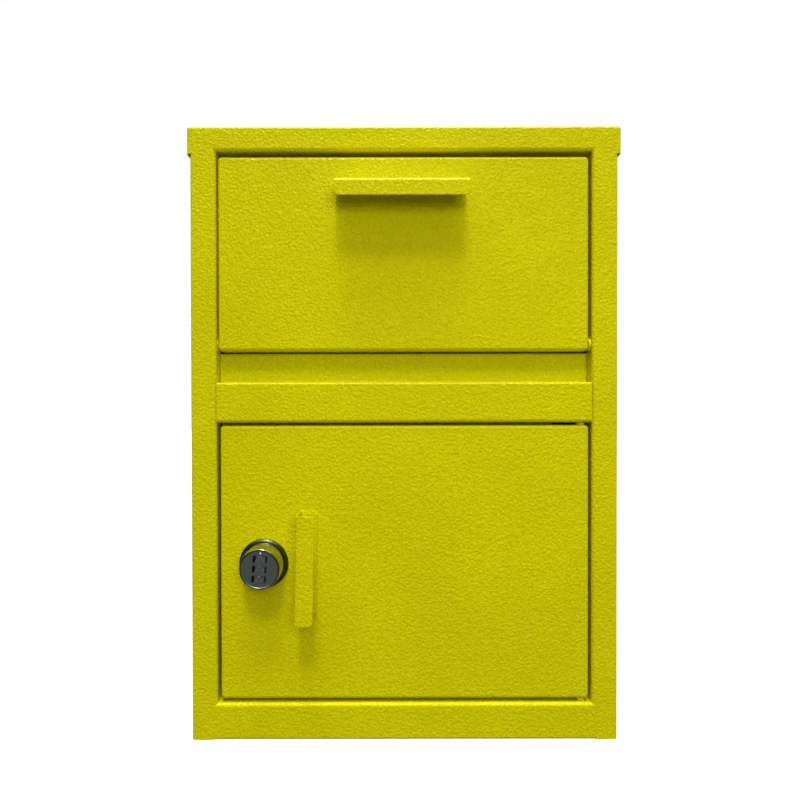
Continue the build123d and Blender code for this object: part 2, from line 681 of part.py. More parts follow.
with BuildPart() as dial_axle:
    with BuildSketch(dial_plane(-axle_half_length + FIT)):
        Circle(DIAL_AXLE)
    extrude(amount=2 * (axle_half_length - FIT))
save(dial_axle, "dial_axle")

# Each dial has ten flat faces, one of which stands square in its window.
for number in (1, 2, 3):
    dial_center = DIAL_PITCH * (2 - number)
    with BuildPart() as dial_wheel:
        with BuildSketch(dial_plane(dial_center - DIAL_THICKNESS / 2)):
            RegularPolygon(radius=DIAL_RADIUS, side_count=DIAL_FACES, rotation=180 / DIAL_FACES)
            Circle(DIAL_AXLE + TURN_FIT, mode=Mode.SUBTRACT)
        extrude(amount=DIAL_THICKNESS)
    save(dial_wheel, f"dial_wheel_{number}")

# The spindle carries the knob's turn through the barrel to the cam behind the door.
with BuildPart() as lock_spindle:
    with BuildSketch(lock_plane(KNOB_BACK)):
        Circle(SPINDLE_RADIUS)
    extrude(amount=KNOB_BACK - BARREL_END)
    with BuildSketch(lock_plane(BARREL_END)):
        Rectangle(CAM_SQUARE, CAM_SQUARE)
    extrude(amount=BARREL_END - CAM_BACK)
    with BuildSketch(lock_plane(CAM_BACK)):
        Circle(CAM_STUD)
    extrude(amount=-(CAM_WASHER + CAM_NUT + CAM_STUD_TAIL))
save(lock_spindle, "lock_spindle")

# The cam hangs straight down when the lock is open.
with BuildPart() as lock_cam:
    with BuildSketch(Plane.XZ.offset(-CAM_FRONT)):
        with Locations((LOCK_X, LOCK_Z)):
            Circle(CAM_RADIUS)
        with Locations((LOCK_X, LOCK_Z - (CAM_LENGTH - CAM_RADIUS) / 2)):
            Rectangle(2 * CAM_RADIUS, CAM_LENGTH - CAM_RADIUS)
        with Locations((LOCK_X, LOCK_Z - CAM_LENGTH + CAM_RADIUS)):
            Circle(CAM_RADIUS)
    extrude(amount=-CAM_THICKNESS)
    with BuildSketch(lock_plane(CAM_FRONT)):
        Rectangle(CAM_SQUARE + 2 * TURN_FIT, CAM_SQUARE + 2 * TURN_FIT)
    extrude(amount=-CAM_THICKNESS, mode=Mode.SUBTRACT)
save(lock_cam, "lock_cam")

with BuildPart() as cam_washer:
    with BuildSketch(lock_plane(CAM_BACK)):
        Circle(CAM_WASHER_RADIUS)
        Circle(CAM_STUD + TURN_FIT, mode=Mode.SUBTRACT)
    extrude(amount=-CAM_WASHER)
save(cam_washer, "cam_washer")

with BuildPart() as cam_nut:
    with BuildSketch(lock_plane(CAM_BACK + CAM_WASHER)):
        RegularPolygon(radius=CAM_NUT_FLATS / 2, side_count=6, major_radius=False)
        Circle(CAM_STUD + TURN_FIT, mode=Mode.SUBTRACT)
    extrude(amount=-CAM_NUT)
save(cam_nut, "cam_nut")
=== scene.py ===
import json
from math import cos, pi, radians, sin

import bmesh
import bpy
from mathutils import Matrix, Vector


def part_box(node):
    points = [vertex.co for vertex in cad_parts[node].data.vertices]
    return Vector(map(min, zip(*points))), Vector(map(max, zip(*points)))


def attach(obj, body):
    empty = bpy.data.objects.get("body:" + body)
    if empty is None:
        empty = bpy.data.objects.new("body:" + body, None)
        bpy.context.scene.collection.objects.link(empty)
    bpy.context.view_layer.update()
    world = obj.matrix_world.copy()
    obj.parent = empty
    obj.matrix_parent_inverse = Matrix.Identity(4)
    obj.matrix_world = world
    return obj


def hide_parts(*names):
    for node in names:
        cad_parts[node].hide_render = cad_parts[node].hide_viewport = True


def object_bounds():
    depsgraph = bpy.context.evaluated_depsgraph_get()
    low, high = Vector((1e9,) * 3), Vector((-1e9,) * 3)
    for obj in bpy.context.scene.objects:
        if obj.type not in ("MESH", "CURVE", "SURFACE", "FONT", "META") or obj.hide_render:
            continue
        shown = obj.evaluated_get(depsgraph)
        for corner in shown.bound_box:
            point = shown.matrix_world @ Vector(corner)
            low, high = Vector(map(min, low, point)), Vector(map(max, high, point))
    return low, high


# Looks of a powder-coated sheet steel parcel mailbox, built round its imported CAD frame.
# Metres, +Z up, the doorway faces -Y.

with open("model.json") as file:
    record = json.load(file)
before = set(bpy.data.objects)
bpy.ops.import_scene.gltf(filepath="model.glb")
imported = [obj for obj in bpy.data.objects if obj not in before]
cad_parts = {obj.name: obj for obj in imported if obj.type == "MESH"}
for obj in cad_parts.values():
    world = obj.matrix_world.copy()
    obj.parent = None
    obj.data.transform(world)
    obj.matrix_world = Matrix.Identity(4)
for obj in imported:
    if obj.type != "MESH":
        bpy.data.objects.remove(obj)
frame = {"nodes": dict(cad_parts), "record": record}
CAD_BOX = [list(corner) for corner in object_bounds()]

MM = 0.001
scene = bpy.context.scene
BOX_LOW = Vector(CAD_BOX[0])
RECORD = frame["record"]
NODE_SLOT = {row["node"]: row["material_slot"] for row in RECORD["subparts"]}
NODE_BODY = {node: body for body, nodes in RECORD["behaviour"]["bodies"].items()
             for node in nodes}
JOINTS = {joint["name"]: joint for joint in RECORD["behaviour"]["joints"]}

# --- Materials --------------------------------------------------------------------------------


class Nodes:
    """Short ways to add shader nodes to a new material, in the object's own coordinates."""

    def __init__(self, name):
        self.material = bpy.data.materials.new(name)
        self.material.use_nodes = True
        self.tree = self.material.node_tree
        self.tree.nodes.clear()
        self.output = self.tree.nodes.new("ShaderNodeOutputMaterial")
        self.surface = self.tree.nodes.new("ShaderNodeBsdfPrincipled")
        self.link(self.surface.outputs[0], self.output.inputs["Surface"])
        self.place = self.tree.nodes.new("ShaderNodeTexCoord").outputs["Object"]

    def link(self, source, target):
        self.tree.links.new(source, target)

    def fill(self, socket, value):
        """Link an output into a socket, or give the socket a plain value."""
        if isinstance(value, bpy.types.NodeSocket):
            self.link(value, socket)
        else:
            socket.default_value = value

    def set(self, node, **values):
        """Fill a node's inputs by name, with _ for a space."""
        for key, value in values.items():
            self.fill(node.inputs[key.replace("_", " ")], value)

    def stretched(self, stretch):
        """The object's coordinates, scaled along each axis."""
        if stretch is None:
            return self.place
        node = self.tree.nodes.new("ShaderNodeMapping")
        node.inputs["Scale"].default_value = stretch
        self.link(self.place, node.inputs["Vector"])
        return node.outputs[0]

    def noise(self, scale, detail=2.0, roughness=0.5, stretch=None):
        node = self.tree.nodes.new("ShaderNodeTexNoise")
        self.set(node, Scale=scale, Detail=detail, Roughness=roughness)
        self.link(self.stretched(stretch), node.inputs["Vector"])
        return node.outputs["Fac"]

    def cells(self, scale, smoothness=None):
        """Distance from the centres of random cells."""
        node = self.tree.nodes.new("ShaderNodeTexVoronoi")
        self.set(node, Scale=scale)
        if smoothness is not None:
            node.feature = "SMOOTH_F1"
            self.set(node, Smoothness=smoothness)
        self.link(self.place, node.inputs["Vector"])
        return node.outputs["Distance"]

    def span(self, value, low, high, to_low=0.0, to_high=1.0):
        """Ease a value's range from low to high over to another range."""
        node = self.tree.nodes.new("ShaderNodeMapRange")
        node.interpolation_type = "SMOOTHSTEP"
        for socket, number in zip(node.inputs[1:5], (low, high, to_low, to_high)):
            socket.default_value = number
        self.link(value, node.inputs[0])
        return node.outputs[0]

    def math(self, operation, first, second):
        node = self.tree.nodes.new("ShaderNodeMath")
        node.operation = operation
        self.fill(node.inputs[0], first)
        self.fill(node.inputs[1], second)
        return node.outputs[0]

    def mix(self, share, first, second):
        """Blend two colours, each an output or a plain (r, g, b)."""
        node = self.tree.nodes.new("ShaderNodeMix")
        node.data_type = "RGBA"
        self.fill(node.inputs[0], share)
        for socket, colour in ((node.inputs[6], first), (node.inputs[7], second)):
            self.fill(socket, colour if isinstance(colour, bpy.types.NodeSocket)
                      else (*colour, 1.0))
        return node.outputs[2]

    def bump(self, height, strength, distance, under=None):
        node = self.tree.nodes.new("ShaderNodeBump")
        self.set(node, Strength=strength, Distance=distance, Height=height)
        if under is not None:
            self.link(under, node.inputs["Normal"])
        return node.outputs[0]


YELLOW = (0.77, 0.725, 0.0025)
YELLOW_DEEP = (0.55, 0.51, 0.0012)
YELLOW_SHEEN = (1.0, 0.96, 0.05, 1.0)    # tint of the coat's gloss
PEEL_DEPTH = 0.55 * MM
WAVE_DEPTH = 0.8 * MM
MARK_DEPTH = 0.05 * MM
PORE_DEPTH = 0.1 * MM


def powder_coat(name):
    """Semi-gloss yellow powder coat with the fine grain of orange peel."""
    n = Nodes(name)
    peel = n.noise(620, 2.0, 0.55)
    dimples = n.cells(430, 0.5)
    waves = n.noise(70, 2.0, 0.5)
    blotches = n.span(n.noise(11, 3.0, 0.55), 0.3, 0.7, 0.0, 0.3)
    specks = n.span(n.noise(850, 3.0, 0.7), 0.38, 0.62, 0.0, 0.7)
    height = n.math("ADD", n.math("MULTIPLY", peel, 0.8), n.math("MULTIPLY", dimples, 0.6))
    normal = n.bump(waves, 0.12, WAVE_DEPTH, n.bump(height, 1.0, PEEL_DEPTH))
    tone = n.mix(specks, n.mix(blotches, YELLOW, YELLOW_DEEP), YELLOW_DEEP)
    n.set(n.surface, Base_Color=tone, Normal=normal, IOR=1.5,
          Roughness=n.span(n.noise(45, 3.0), 0.3, 0.7, 0.25, 0.33),
          Specular_IOR_Level=0.75, Specular_Tint=YELLOW_SHEEN)
    return n.material


def plated(name, tone, low, high, marks=900):
    """Plated metal of roughness low to high, with turning marks, smudges and a little wear."""
    n = Nodes(name)
    scratches = n.noise(marks, 3.0, 0.6, (1.0, 0.05, 1.0))
    smudges = n.noise(160, 3.0, 0.6)
    colour = n.mix(n.span(smudges, 0.3, 0.75), tone, tuple(0.72 * v for v in tone))
    n.set(n.surface, Base_Color=colour, Metallic=1.0,
          Roughness=n.span(smudges, 0.3, 0.7, low, high),
          Normal=n.bump(scratches, 0.15, MARK_DEPTH))
    return n.material


def zinc(name):
    """Bright zinc plating with spangle and a few stains."""
    n = Nodes(name)
    stains = n.noise(120, 4.0, 0.6)
    colour = n.mix(n.span(stains, 0.35, 0.7), (0.62, 0.63, 0.64), (0.47, 0.48, 0.47))
    n.set(n.surface, Base_Color=colour, Metallic=1.0,
          Roughness=n.span(n.cells(900), 0.2, 0.8, 0.26, 0.42),
          Normal=n.bump(stains, 0.1, PORE_DEPTH))
    return n.material


def dull(name, tone, worn, low, high):
    """Rubber or enamel of roughness low to high: a dull coat with pores and a little dust."""
    n = Nodes(name)
    pores = n.noise(1500, 3.0, 0.6)
    n.set(n.surface, Base_Color=n.mix(n.span(n.noise(60, 4.0, 0.6), 0.5, 0.8), tone, worn),
          Roughness=n.span(pores, 0.3, 0.7, low, high),
          Normal=n.bump(pores, 0.3, PORE_DEPTH))
    return n.material


MATERIALS = {
    "yellow_powder_coat": powder_coat("yellow_powder_coat"),
    "black_nickel": plated("black_nickel", (0.15, 0.15, 0.16), 0.16, 0.3),
    "dial_metal": plated("dial_metal", (0.66, 0.66, 0.64), 0.32, 0.44),
    "zinc_steel": zinc("zinc_steel"),
    "black_rubber": dull("black_rubber", (0.018, 0.018, 0.018), (0.05, 0.05, 0.048), 0.6, 0.8),
}
KNOB_SATIN = plated("knob_satin", (0.36, 0.41, 0.36), 0.38, 0.52, 700)
# Dark ring metal. Its tone is tinted yellow-olive as a painted reflection of the yellow door
# around it.
RING_DARK_WITH_PAINTED_REFLECTION = plated("ring_dark_with_painted_reflection", (0.13, 0.14, 0.09), 0.24, 0.36)
POLISHED = plated("knob_polished", (0.42, 0.43, 0.4), 0.1, 0.18, 500)
INK = dull("numeral_enamel", (0.012, 0.012, 0.013), (0.03, 0.03, 0.03), 0.35, 0.5)
WHITE = dull("index_enamel", (0.78, 0.78, 0.76), (0.6, 0.6, 0.57), 0.4, 0.55)

for node, obj in frame["nodes"].items():
    obj.data.materials.clear()
    obj.data.materials.append(MATERIALS[NODE_SLOT[node]])

# --- Mesh helpers -----------------------------------------------------------------------------

SMOOTH_ANGLE = radians(32)       # faces that meet at less are shaded as one
CUT_EDGE_ANGLE = radians(50)     # edges sharper than this are rounded over


def mesh_object(name, bm, *materials):
    """Object at the origin with this bmesh as its mesh."""
    mesh = bpy.data.meshes.new(name)
    bm.to_mesh(mesh)
    bm.free()
    obj = bpy.data.objects.new(name, mesh)
    scene.collection.objects.link(obj)
    for material in materials:
        mesh.materials.append(material)
    return obj


def rounded_shading(obj):
    """Smooth shading that breaks at sharp edges."""
    obj.data.shade_smooth()
    bm = bmesh.new()
    bm.from_mesh(obj.data)
    for edge in bm.edges:
        edge.smooth = len(edge.link_faces) == 2 and edge.calc_face_angle(pi) < SMOOTH_ANGLE
    bm.to_mesh(obj.data)
    bm.free()
    weigh = obj.modifiers.new("weigh", "WEIGHTED_NORMAL")
    weigh.keep_sharp = True
    baked(obj)


def baked(obj):
    """Apply an object's modifiers to its mesh."""
    made = bpy.data.meshes.new_from_object(
        obj.evaluated_get(bpy.context.evaluated_depsgraph_get()))
    obj.modifiers.clear()
    obj.data = made


def piece(obj, body, node=None):
    """Put a finished piece on its body, in the place of its CAD node."""
    rounded_shading(obj)
    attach(obj, body)
    if node:
        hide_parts(node)


def softened(node, width):
    """A CAD node again, with its cut edges rounded over."""
    bm = bmesh.new()
    bm.from_mesh(frame["nodes"][node].data)
    bmesh.ops.remove_doubles(bm, verts=bm.verts, dist=0.002 * MM)
    bmesh.ops.dissolve_limit(bm, angle_limit=radians(0.5), verts=bm.verts, edges=bm.edges)
    corners = [edge for edge in bm.edges
               if len(edge.link_faces) == 2 and edge.calc_face_angle(0) > CUT_EDGE_ANGLE]
    bmesh.ops.bevel(bm, geom=corners, offset=width, segments=2, profile=0.5, affect="EDGES",
                    clamp_overlap=True, harden_normals=False)
    piece(mesh_object(f"{node}_soft", bm, MATERIALS[NODE_SLOT[node]]), NODE_BODY[node], node)


def lathe(bm, profile, matrix, segments):
    """Closed body of revolution. The profile gives (radius, height) up the local Z axis."""
    rings = []
    for step in range(segments):
        angle = 2 * pi * step / segments
        rings.append([bm.verts.new(matrix @ Vector((r * cos(angle), r * sin(angle), h)))
                      for r, h in profile])
    for step, ring in enumerate(rings):
        after = rings[(step + 1) % segments]
        for i in range(len(profile)):
            j = (i + 1) % len(profile)
            quad = [ring[i], after[i], after[j], ring[j]]
            if profile[i][0] + profile[j][0] > 0:
                bm.faces.new(quad)
    bmesh.ops.remove_doubles(bm, verts=bm.verts, dist=0.001 * MM)
    bmesh.ops.recalc_face_normals(bm, faces=bm.faces)


def bent(start, end, center, steps=5):
    """Points of a quarter turn in a profile from start to end round a centre."""
    points = []
    for step in range(steps + 1):
        a = pi / 2 * step / steps
        points.append(tuple(c + (s - c) * cos(a) + (e - c) * sin(a)
                            for s, e, c in zip(start, end, center)))
    return points


def rounded_box(bm, size, radius, matrix):
    """Box with rounded upright edges."""
    made = bmesh.ops.create_cube(bm, size=1.0, matrix=matrix @ Matrix.Diagonal((*size, 1)))
    axis = matrix.col[2].xyz
    upright = [edge for edge in {e for v in made["verts"] for e in v.link_edges}
               if abs((edge.verts[0].co - edge.verts[1].co).normalized().dot(axis)) > 0.9]
    bmesh.ops.bevel(bm, geom=upright, offset=radius, segments=4, profile=0.5, affect="EDGES",
                    clamp_overlap=True)


def cut(obj, cutter, operation="DIFFERENCE"):
    """Apply a boolean with the cutter, and remove the cutter."""
    change = obj.modifiers.new("cut", "BOOLEAN")
    change.operation = operation
    change.solver = "EXACT"
    change.object = cutter
    baked(obj)
    bpy.data.objects.remove(cutter)


# --- Folded sheets, with their cut edges rounded over ------------------------------------------

SHEET_EDGE = 0.3 * MM
HANDLE_EDGE = 0.55 * MM
THIN_EDGE = 0.2 * MM
PIN_EDGE = 0.5 * MM
for node in ("left_side_panel", "right_side_panel", "base_pan", "roof_hood", "mid_rail",
             "back_panel", "anti_theft_baffle", "flap_panel", "flap_handle", "hopper_tray",
             "left_hopper_cheek", "right_hopper_cheek", "door_panel", "door_handle",
             "lock_strike"):
    softened(node, HANDLE_EDGE if "handle" in node else SHEET_EDGE)
for node in ("flap_pivot_washers", "door_hinge_washers", "lock_washer", "cam_washer",
             "flap_buffer_strip", "door_buffer_strip"):
    softened(node, THIN_EDGE)
for node in ("flap_pivot_pins", "door_hinge_pins", "lock_cam"):
    softened(node, PIN_EDGE)

# Spot welds show as shallow marks where the side walls and the hood meet the sheets inside.
WELD_RADIUS = 2.8 * MM
WELD_RISE = 0.16 * MM
WELD_PITCH = 58 * MM
WELD_ROWS = 8
WELD_FOOT = 36 * MM              # height of the lowest marks
WELD_BACK = 7 * MM               # distance of the marks from the wall's rear edge
WELD_FRONT = 9 * MM              # and from its front edge
WELD_STEPS = 20                  # flats round a mark
HOOD_WELDS = 4
HOOD_WELD_START = 38 * MM        # distance of the hood's first mark from the front
HOOD_WELD_DROP = 13 * MM         # and of its marks from the top
wall_low, wall_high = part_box("left_side_panel")
wall_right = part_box("right_side_panel")[1].x
hood_low, hood_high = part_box("roof_hood")
bm = bmesh.new()
weld_profile = [(0, -WELD_RISE), (WELD_RADIUS, -WELD_RISE), (WELD_RADIUS * 0.9, WELD_RISE * 0.3),
                (WELD_RADIUS * 0.6, WELD_RISE), (WELD_RADIUS * 0.3, WELD_RISE * 0.6),
                (0, WELD_RISE * 0.45)]
for side, wall_x, hood_x in ((-1, wall_low.x, hood_low.x), (1, wall_right, hood_high.x)):
    spots = []
    for row in range(WELD_ROWS):
        height = wall_low.z + WELD_FOOT + row * WELD_PITCH
        spots.append((wall_x, wall_high.y - WELD_BACK, height))
        spots.append((wall_x, wall_low.y + WELD_FRONT, height))
    for row in range(HOOD_WELDS):
        spots.append((hood_x, wall_low.y + HOOD_WELD_START + row * WELD_PITCH,
                      hood_high.z - HOOD_WELD_DROP))
    sideways = Matrix.Rotation(side * pi / 2, 4, "Y")
    for spot in spots:
        lathe(bm, weld_profile, Matrix.Translation(spot) @ sideways, WELD_STEPS)
piece(mesh_object("spot_welds", bm, MATERIALS["yellow_powder_coat"]), "cabinet")

# --- Lock -------------------------------------------------------------------------------------

LEAN = Vector(JOINTS["dial_1_spin"]["axis"]).normalized()
OUTWARD = Vector((0, -1, 0))
ACROSS = LEAN.cross(OUTWARD)
RING_LOW, RING_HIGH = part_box("lock_housing")
KNOB_LOW, KNOB_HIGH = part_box("lock_knob")
SPINDLE_LOW, SPINDLE_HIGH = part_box("lock_spindle")
DOOR_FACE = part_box("door_panel")[0].y
LOCK_X, LOCK_Z = ((RING_LOW + RING_HIGH) / 2).xz
RING_RADIUS = (RING_HIGH.x - RING_LOW.x) / 2
SEEN_STEPS = 128                 # flats round a turned piece that shows
HIDDEN_STEPS = 72                # and round a cutter's or a hidden piece's
BARREL_RADIUS = 9.5 * MM
KNOB_LENGTH = KNOB_HIGH.y - KNOB_LOW.y
KNOB_BASE = (KNOB_HIGH.x - KNOB_LOW.x) / 2
KNOB_RADIUS = KNOB_BASE - 1.6 * MM     # at the face, to which the flank narrows
CAM_STUD_RADIUS = 3.0 * MM
FIT = 0.05 * MM


def lock_frame(y):
    """Place on the lock's axis at a given Y: X across the knob, Y up its lean, Z outward."""
    frame_at = Matrix.Identity(4)
    for column, axis in enumerate((ACROSS, LEAN, OUTWARD)):
        frame_at.col[column].xyz = axis
    frame_at.translation = Vector((LOCK_X, y, LOCK_Z))
    return frame_at


# The ring slopes down all round the knob to a rounded rim, and has a threaded barrel behind it.
SLOPE_STEPS = 7
SLOPE_DROP = 1.2 * MM
SLOPE_CURVE = 1.4
RIM_DROP = 1.6 * MM
RIM_INSET = 0.2 * MM
RING_FOOT = 0.25 * MM            # chamfer where the ring meets the door
THREAD_PITCH = 1.0 * MM
THREAD_DEPTH = 0.45 * MM
THREAD_HALF = 0.15 * MM          # half the width of a thread's groove at its top
BARREL_CHAMFER = 0.6 * MM
ring_height = DOOR_FACE - RING_LOW.y
barrel_length = RING_HIGH.y - DOOR_FACE
bore = (SPINDLE_HIGH.x - SPINDLE_LOW.x) / 2 + FIT
ring_profile = [(bore, ring_height), (KNOB_BASE - 1.0 * MM, ring_height)]
for step in range(1, SLOPE_STEPS + 1):
    share = step / SLOPE_STEPS
    ring_profile.append((KNOB_BASE + (RING_RADIUS - KNOB_BASE - RIM_INSET) * share,
                         ring_height - SLOPE_DROP * share ** SLOPE_CURVE))
ring_profile += [(RING_RADIUS, ring_height - RIM_DROP), (RING_RADIUS, RING_FOOT),
                 (RING_RADIUS - RING_FOOT, 0), (BARREL_RADIUS, 0)]
for turn in range(1, int(barrel_length / THREAD_PITCH)):
    depth = -turn * THREAD_PITCH
    ring_profile += [(BARREL_RADIUS, depth + THREAD_HALF), (BARREL_RADIUS - THREAD_DEPTH, depth),
                     (BARREL_RADIUS, depth - THREAD_HALF)]
ring_profile += [(BARREL_RADIUS, BARREL_CHAMFER - barrel_length),
                 (BARREL_RADIUS - BARREL_CHAMFER, -barrel_length), (bore, -barrel_length)]
bm = bmesh.new()
lathe(bm, ring_profile, lock_frame(DOOR_FACE), SEEN_STEPS)
piece(mesh_object("lock_ring", bm, RING_DARK_WITH_PAINTED_REFLECTION), "door", "lock_housing")

# Nuts on the lock's barrel and on the cam's stud.
CORNER_SLOPE = 0.6               # the corner chamfers' fall as a share of their reach
HOLE_CHAMFER = 0.3 * MM
CORNER_SPARE = 0.1 * MM          # how far the chamfer's cutter passes a nut's corners


def hex_nut(name, hole, body, node):
    """Nut with chamfered corners and a chamfered hole."""
    low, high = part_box(node)
    height = high.y - low.y
    flats = (high.z - low.z) / 2
    corner = flats / cos(pi / 6)
    plane = lock_frame(high.y)
    half_up = Matrix.Translation((0, 0, height / 2)) @ Matrix.Rotation(pi / 6, 4, "Z")
    bm = bmesh.new()
    bmesh.ops.create_cone(bm, cap_ends=True, segments=6, radius1=corner, radius2=corner,
                          depth=height, matrix=plane @ half_up)
    nut = mesh_object(name, bm, MATERIALS["zinc_steel"])
    bm = bmesh.new()
    edge = (corner - flats) * CORNER_SLOPE
    outside = corner + CORNER_SPARE
    lathe(bm, [(0, 0), (flats, 0), (outside, edge), (outside, height - edge), (flats, height),
               (0, height)], plane, HIDDEN_STEPS)
    cut(nut, mesh_object("nut_chamfer", bm), "INTERSECT")
    bm = bmesh.new()
    flare = hole + height + HOLE_CHAMFER
    lathe(bm, [(0, -height), (flare, -height), (hole, HOLE_CHAMFER),
               (hole, height - HOLE_CHAMFER), (flare, 2 * height), (0, 2 * height)],
          plane, HIDDEN_STEPS)
    cut(nut, mesh_object("nut_hole", bm))
    piece(nut, body, node)


hex_nut("barrel_nut", BARREL_RADIUS + FIT, "door", "lock_nut")
hex_nut("cam_stud_nut", CAM_STUD_RADIUS + FIT, "lock_rotor", "cam_nut")

# The knob has a polished flank, a thin raised rim and a satin face with the dials' windows.
RIM_ROUND = 0.9 * MM             # rounding of the rim's outside
RIM_TOP = 0.36 * MM              # width of its flat top
RIM_SLOPE = 0.27 * MM            # width of the slope down to the face
FACE_DROP = 0.25 * MM            # how far the face lies below the rim
KNOB_FOOT = 0.5 * MM             # chamfer at the knob's back
FOOT_INSET = 0.05 * MM
rim_inside = KNOB_RADIUS - RIM_ROUND - RIM_TOP
knob_profile = [(0, 0), (KNOB_BASE - KNOB_FOOT, 0), (KNOB_BASE - FOOT_INSET, KNOB_FOOT)]
knob_profile += bent((KNOB_RADIUS, KNOB_LENGTH - RIM_ROUND),
                     (KNOB_RADIUS - RIM_ROUND, KNOB_LENGTH),
                     (KNOB_RADIUS - RIM_ROUND, KNOB_LENGTH - RIM_ROUND))
knob_profile += [(rim_inside, KNOB_LENGTH), (rim_inside - RIM_SLOPE, KNOB_LENGTH - FACE_DROP),
                 (0, KNOB_LENGTH - FACE_DROP)]
middle = lock_frame(KNOB_HIGH.y)
bm = bmesh.new()
lathe(bm, knob_profile, middle, SEEN_STEPS)
knob = mesh_object("knob", bm, MATERIALS["black_nickel"], KNOB_SATIN, POLISHED)

# Behind the face is a room for the dials, a seat for the back plate and three windows.
DIAL_BOXES = [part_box(f"dial_wheel_{number}") for number in (1, 2, 3)]
DIAL_CENTERS = [(low + high) / 2 for low, high in DIAL_BOXES]
DIAL_RADIUS = (DIAL_BOXES[1][1].y - DIAL_BOXES[1][0].y) / 2
DIAL_PITCH = (DIAL_CENTERS[0] - DIAL_CENTERS[1]).length
DIAL_THICKNESS = 5.2 * MM
AXLE_LOW, AXLE_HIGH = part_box("dial_axle")
AXLE_HOLE = (AXLE_HIGH.y - AXLE_LOW.y) / 2 + FIT
ROOM_SPARE = 1.0 * MM            # the room's width and height beyond the dials'
ROOM_CORNER = 0.8 * MM
FACE_WALL = 1.2 * MM
SEAT_RADIUS = 13.9 * MM
SEAT_DEPTH = 2.4 * MM
CUTTER_SPARE = 3 * MM
WINDOW_WIDTH = 11.4 * MM
WINDOW_HEIGHT = 5.6 * MM
WINDOW_CORNER = 1.0 * MM
bm = bmesh.new()
rounded_box(bm, (2 * DIAL_RADIUS + ROOM_SPARE, 2 * DIAL_PITCH + DIAL_THICKNESS + ROOM_SPARE,
                 2 * (KNOB_LENGTH - FACE_WALL)), ROOM_CORNER, middle)
cut(knob, mesh_object("knob_room", bm))
bm = bmesh.new()
lathe(bm, [(0, -CUTTER_SPARE), (SEAT_RADIUS, -CUTTER_SPARE), (SEAT_RADIUS, SEAT_DEPTH),
           (0, SEAT_DEPTH)], middle, HIDDEN_STEPS)
cut(knob, mesh_object("knob_seat", bm))
bm = bmesh.new()
for row in (-1, 0, 1):
    rounded_box(bm, (WINDOW_WIDTH, WINDOW_HEIGHT, 4 * FACE_WALL), WINDOW_CORNER,
                middle @ Matrix.Translation((0, row * DIAL_PITCH, KNOB_LENGTH)))
cut(knob, mesh_object("knob_windows", bm))

# The face is satin inside the rim, and the flank is polished up to the rim's rounding.
SATIN_DEPTH = 0.6 * MM
FLANK_DEPTH = 0.4 * MM
for polygon in knob.data.polygons:
    spot = middle.inverted() @ polygon.center
    if spot.z > KNOB_LENGTH - SATIN_DEPTH and spot.xy.length < rim_inside:
        polygon.material_index = 1
    elif spot.z > FLANK_DEPTH and spot.xy.length > KNOB_RADIUS - FLANK_DEPTH:
        polygon.material_index = 2
piece(knob, "lock_rotor", "lock_knob")

# A white index dot over the top window.
DOT_STEPS = 32
DOT_RADIUS = 0.7 * MM
DOT_PROFILE = [(0, -0.2 * MM), (DOT_RADIUS, -0.2 * MM), (DOT_RADIUS, 0.04 * MM),
               (0.45 * MM, 0.1 * MM), (0, 0.12 * MM)]
DOT_RISE = 1.5 * DIAL_PITCH + 0.9 * MM
bm = bmesh.new()
dot_place = middle @ Matrix.Translation((0, DOT_RISE, KNOB_LENGTH - FACE_DROP))
lathe(bm, DOT_PROFILE, dot_place, DOT_STEPS)
piece(mesh_object("index_dot", bm, WHITE), "lock_rotor")

# Dials: ten lands with a numeral each, and a finger notch between neighbours.
LANDS = 10
LAND_RADIUS = DIAL_RADIUS * cos(pi / LANDS) + 0.15 * MM
NOTCH_RADIUS = LAND_RADIUS - 0.75 * MM
NOTCH_HALF = radians(4.5)
DIAL_CHAMFER = 0.3 * MM
NUMERAL_HEIGHT = 3.3 * MM
NUMERAL_RISE = 0.05 * MM
CAPITAL_SHARE = 0.72             # a numeral's height as a share of the font's size
DIAL_HALF = DIAL_THICKNESS / 2
# A text lies in XY. On a dial its X goes across, its Y up the lean and its Z outward.
UPRIGHT = Matrix(((0, 0, 1, LAND_RADIUS), (1, 0, 0, 0), (0, 1, 0, -NUMERAL_HEIGHT / 2),
                  (0, 0, 0, 1)))


def dial_frame(center):
    """Place at a dial's centre: X outward through its window, Y across it, Z along the axle."""
    frame_at = Matrix.Identity(4)
    for column, axis in enumerate((OUTWARD, ACROSS, LEAN)):
        frame_at.col[column].xyz = axis
    frame_at.translation = center
    return frame_at


def dial_outline():
    """Points (radius, angle) round a dial, with a notch between neighbouring lands."""
    points = []
    step = 2 * pi / LANDS
    arc = step / 2 - NOTCH_HALF
    for land in range(LANDS):
        points += [(LAND_RADIUS, land * step + share * arc)
                   for share in (-1, -0.6, -0.2, 0.2, 0.6, 1)]
        points.append((NOTCH_RADIUS, land * step + step / 2))
    return points


def dial_wheel(here):
    """Wheel with chamfered rims and a hole for the axle."""
    rim = dial_outline()
    narrow = [(radius - DIAL_CHAMFER, angle) for radius, angle in rim]
    hole = [(AXLE_HOLE, angle) for _, angle in rim]
    levels = ((narrow, -DIAL_HALF), (rim, DIAL_CHAMFER - DIAL_HALF),
              (rim, DIAL_HALF - DIAL_CHAMFER), (narrow, DIAL_HALF), (hole, DIAL_HALF),
              (hole, -DIAL_HALF))
    bm = bmesh.new()
    loops = [[bm.verts.new(here @ Vector((r * cos(a), r * sin(a), height))) for r, a in outline]
             for outline, height in levels]
    for first, second in zip(loops, loops[1:] + loops[:1]):
        for i in range(len(rim)):
            j = (i + 1) % len(rim)
            bm.faces.new((first[i], first[j], second[j], second[i]))
    bmesh.ops.recalc_face_normals(bm, faces=bm.faces)
    return bm


